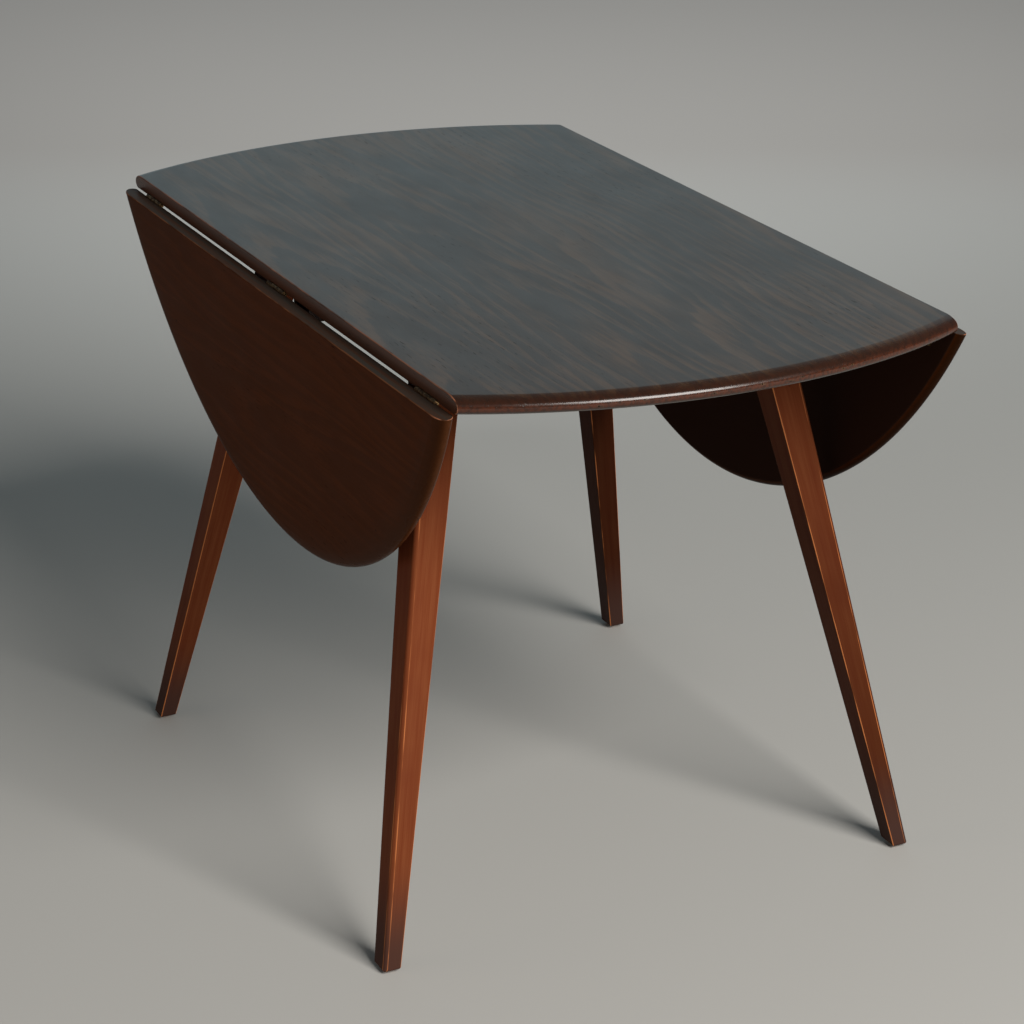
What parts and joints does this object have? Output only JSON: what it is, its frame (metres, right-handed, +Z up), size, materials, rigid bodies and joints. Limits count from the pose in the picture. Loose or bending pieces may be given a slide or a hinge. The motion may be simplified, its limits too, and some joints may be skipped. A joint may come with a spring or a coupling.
{
  "type": "drop-leaf table",
  "caption": "Oval drop-leaf dining table in dark stained wood, with D-shaped hanging leaves on brass hinges, sliding leaf supports and splayed tapered legs.",
  "frame": {"origin": "on the floor under the middle of the table", "axes": "+X along the hinge lines, towards the right-hand end seen from the front; +Y from the front leaf to the back leaf; +Z up"},
  "size_m": [1.13, 0.7052, 0.72],
  "materials": {
    "stained_top": "dark walnut stain under satin lacquer, rubbed through at the arrises",
    "stained_leg": "red-brown stain under satin lacquer, worn arrises",
    "frame_wood": "thin brown stain, matt",
    "aged_brass": "dull, tarnished",
    "brass_screw": "dull, bright in the slots",
    "zinc_steel": "dull zinc plate",
    "nylon": "off-white nylon, slightly translucent"
  },
  "bodies": {
    "table_base": {"block_screws": "zinc_steel", "corner_block_back_left": "frame_wood", "corner_block_back_right": "frame_wood", "corner_block_front_left": "frame_wood", "corner_block_front_right": "frame_wood", "cross_rail_left": "frame_wood", "cross_rail_right": "frame_wood", "glide_back_left": "nylon", "glide_back_right": "nylon", "glide_front_left": "nylon", "glide_front_right": "nylon", "guide_inner_back": "frame_wood", "guide_inner_front": "frame_wood", "guide_outer_back": "frame_wood", "guide_outer_front": "frame_wood", "guide_screws": "zinc_steel", "hinge_pin_back_left": "aged_brass", "hinge_pin_back_middle": "aged_brass", "hinge_pin_back_right": "aged_brass", "hinge_pin_front_left": "aged_brass", "hinge_pin_front_middle": "aged_brass", "hinge_pin_front_right": "aged_brass", "keeper_back": "frame_wood", "keeper_front": "frame_wood", "leg_back_left": "stained_leg", "leg_back_right": "stained_leg", "leg_bolts": "zinc_steel", "leg_front_left": "stained_leg", "leg_front_right": "stained_leg", "leg_nuts": "zinc_steel", "leg_washers": "zinc_steel", "long_rail_back": "frame_wood", "long_rail_front": "frame_wood", "panel_hinge_screws": "brass_screw", "panel_plate_back_left": "aged_brass", "panel_plate_back_middle": "aged_brass", "panel_plate_back_right": "aged_brass", "panel_plate_front_left": "aged_brass", "panel_plate_front_middle": "aged_brass", "panel_plate_front_right": "aged_brass", "rail_screws": "zinc_steel", "top_panel": "stained_top"},
    "leaf_front": {"leaf_front": "stained_top", "leaf_hinge_screws_front": "brass_screw", "leaf_plate_front_left": "aged_brass", "leaf_plate_front_middle": "aged_brass", "leaf_plate_front_right": "aged_brass"},
    "leaf_back": {"leaf_back": "stained_top", "leaf_hinge_screws_back": "brass_screw", "leaf_plate_back_left": "aged_brass", "leaf_plate_back_middle": "aged_brass", "leaf_plate_back_right": "aged_brass"},
    "loper_front": {"loper_front": "frame_wood", "stop_peg_front": "frame_wood"},
    "loper_back": {"loper_back": "frame_wood", "stop_peg_back": "frame_wood"}
  },
  "joints": [
    {"name": "front_leaf_hinge", "type": "hinge", "parent": "table_base", "child": "leaf_front", "pos_m": [0, -0.3065, 0.7011], "axis": [-1, 0, 0], "range_deg": [-4, 94.4]},
    {"name": "back_leaf_hinge", "type": "hinge", "parent": "table_base", "child": "leaf_back", "pos_m": [0, 0.3065, 0.7011], "axis": [1, 0, 0], "range_deg": [-4, 94.4]},
    {"name": "front_loper_slide", "type": "slide", "parent": "table_base", "child": "loper_front", "axis": [0, -1, 0], "range_m": [0, 0.045]},
    {"name": "back_loper_slide", "type": "slide", "parent": "table_base", "child": "loper_back", "axis": [0, 1, 0], "range_m": [0, 0.045]}
  ]
}
